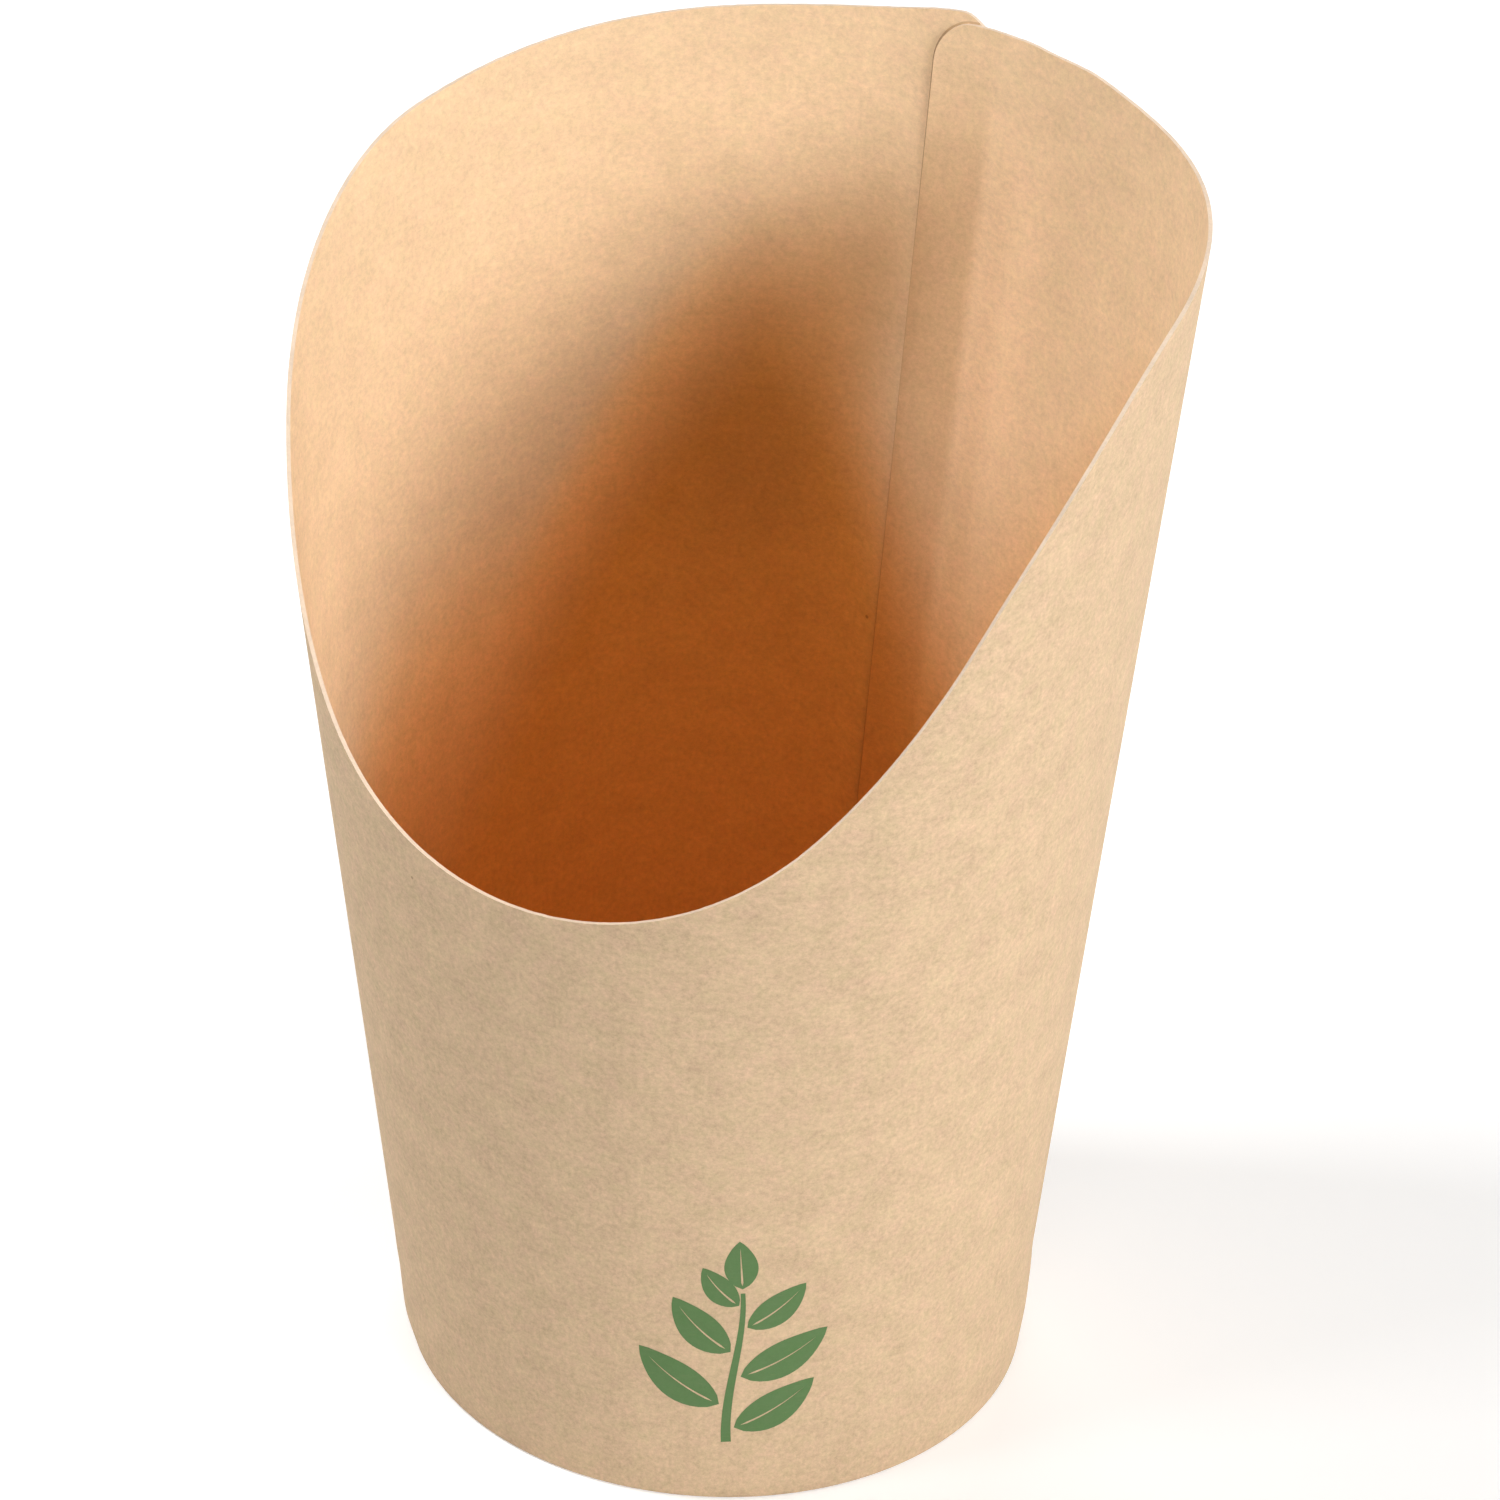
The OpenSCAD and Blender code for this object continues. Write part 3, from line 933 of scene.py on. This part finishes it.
def buildFloor():
    half, low = stage["floorSize"] / 2, -stage["floorDrop"]
    mesh = bpy.data.meshes.new("floor")
    corners = [(x * half, y * half, low) for x, y in ((-1, -1), (1, -1), (1, 1), (-1, 1))]
    mesh.from_pydata(corners, [], [(0, 1, 2, 3)])
    floor = bpy.data.objects.new("floor", mesh)
    bpy.context.scene.collection.objects.link(floor)
    material, tree, shader = newMaterial("whiteFloor")
    shader.inputs["Base Color"].default_value = (*stage["floorColour"], 1)
    shader.inputs["Roughness"].default_value = stage["floorRoughness"]
    shader.inputs["Specular IOR Level"].default_value = 0.0
    shader.inputs["Emission Color"].default_value = (1, 1, 1, 1)
    lift = maths(tree, "MULTIPLY", seenShare(tree), stage["floorLift"], "lift")
    tree.links.new(lift, shader.inputs["Emission Strength"])
    mesh.materials.append(material)


def buildWorld():
    world = bpy.data.worlds.new("studio")
    world.use_nodes = True
    tree = world.node_tree
    sky = tree.nodes["Background"]
    seen = seenShare(tree)
    share = ramp(tree, seen, "white where it is seen", 0.0, 1.0, stage["ambient"], 1.0)
    sky.inputs["Color"].default_value = (1, 1, 1, 1)
    tree.links.new(share, sky.inputs["Strength"])
    bpy.context.scene.world = world


def spot(turn, lift, away):
    a, e = math.radians(turn), math.radians(lift)
    return Vector((math.sin(a) * math.cos(e), -math.cos(a) * math.cos(e), math.sin(e))) * away


def buildLamps():
    aim = Vector((0, 0, stage["aimHeight"]))
    for name, (turn, lift, away, side, watts) in stage["lamps"].items():
        lamp = bpy.data.lights.new(name, "AREA")
        lamp.shape = "SQUARE"
        lamp.size = side
        lamp.energy = watts
        box = bpy.data.objects.new(name, lamp)
        box.location = aim + spot(turn, lift, away)
        box.rotation_mode = "QUATERNION"
        box.rotation_quaternion = (aim - box.location).to_track_quat("-Z", "Y")
        bpy.context.scene.collection.objects.link(box)


buildFloor()
buildWorld()
buildLamps()

camera = {
    "toward": 29.9,          # direction of the camera round the cup
    "away": 421.7,           # level distance from the cup's axis
    "height": 317.6,         # above the table
    "down": 30.65,           # how far it looks down
    "aside": 0.18,           # how far it looks to the right of the axis
    "roll": 2.6,             # how far it is turned about its own line of sight
    "lens": 119.98,
    "sensor": 36.0,
    "clip": (0.01, 20.0),    # metres
}


def buildCamera():
    data = bpy.data.cameras.new("camera")
    data.sensor_width = camera["sensor"]
    data.lens = camera["lens"]
    data.clip_start, data.clip_end = camera["clip"]
    eye = bpy.data.objects.new("camera", data)
    back = math.radians(camera["toward"])
    down, aside, roll = (math.radians(camera[k]) for k in ("down", "aside", "roll"))
    level = math.cos(down)
    ahead = Vector((math.sin(aside) * level, math.cos(aside) * level, -math.sin(down)))
    right = ahead.cross(Vector((0, 0, 1))).normalized()
    up = right.cross(ahead)
    tilted = math.cos(roll) * right + math.sin(roll) * up
    tiltedUp = math.cos(roll) * up - math.sin(roll) * right
    frameAxes = Matrix((tilted, tiltedUp, -ahead)).transposed()
    turned = Matrix.Rotation(back, 3, "Z")
    eyeAt = turned @ Vector((0, -camera["away"], camera["height"])) * mm
    eye.matrix_world = Matrix.Translation(eyeAt) @ (turned @ frameAxes).to_4x4()
    bpy.context.scene.collection.objects.link(eye)
    bpy.context.scene.camera = eye


buildCamera()
bpy.context.scene.view_settings.view_transform = "Standard"
print("floor, lamps and camera made")

bpy.context.view_layer.update()
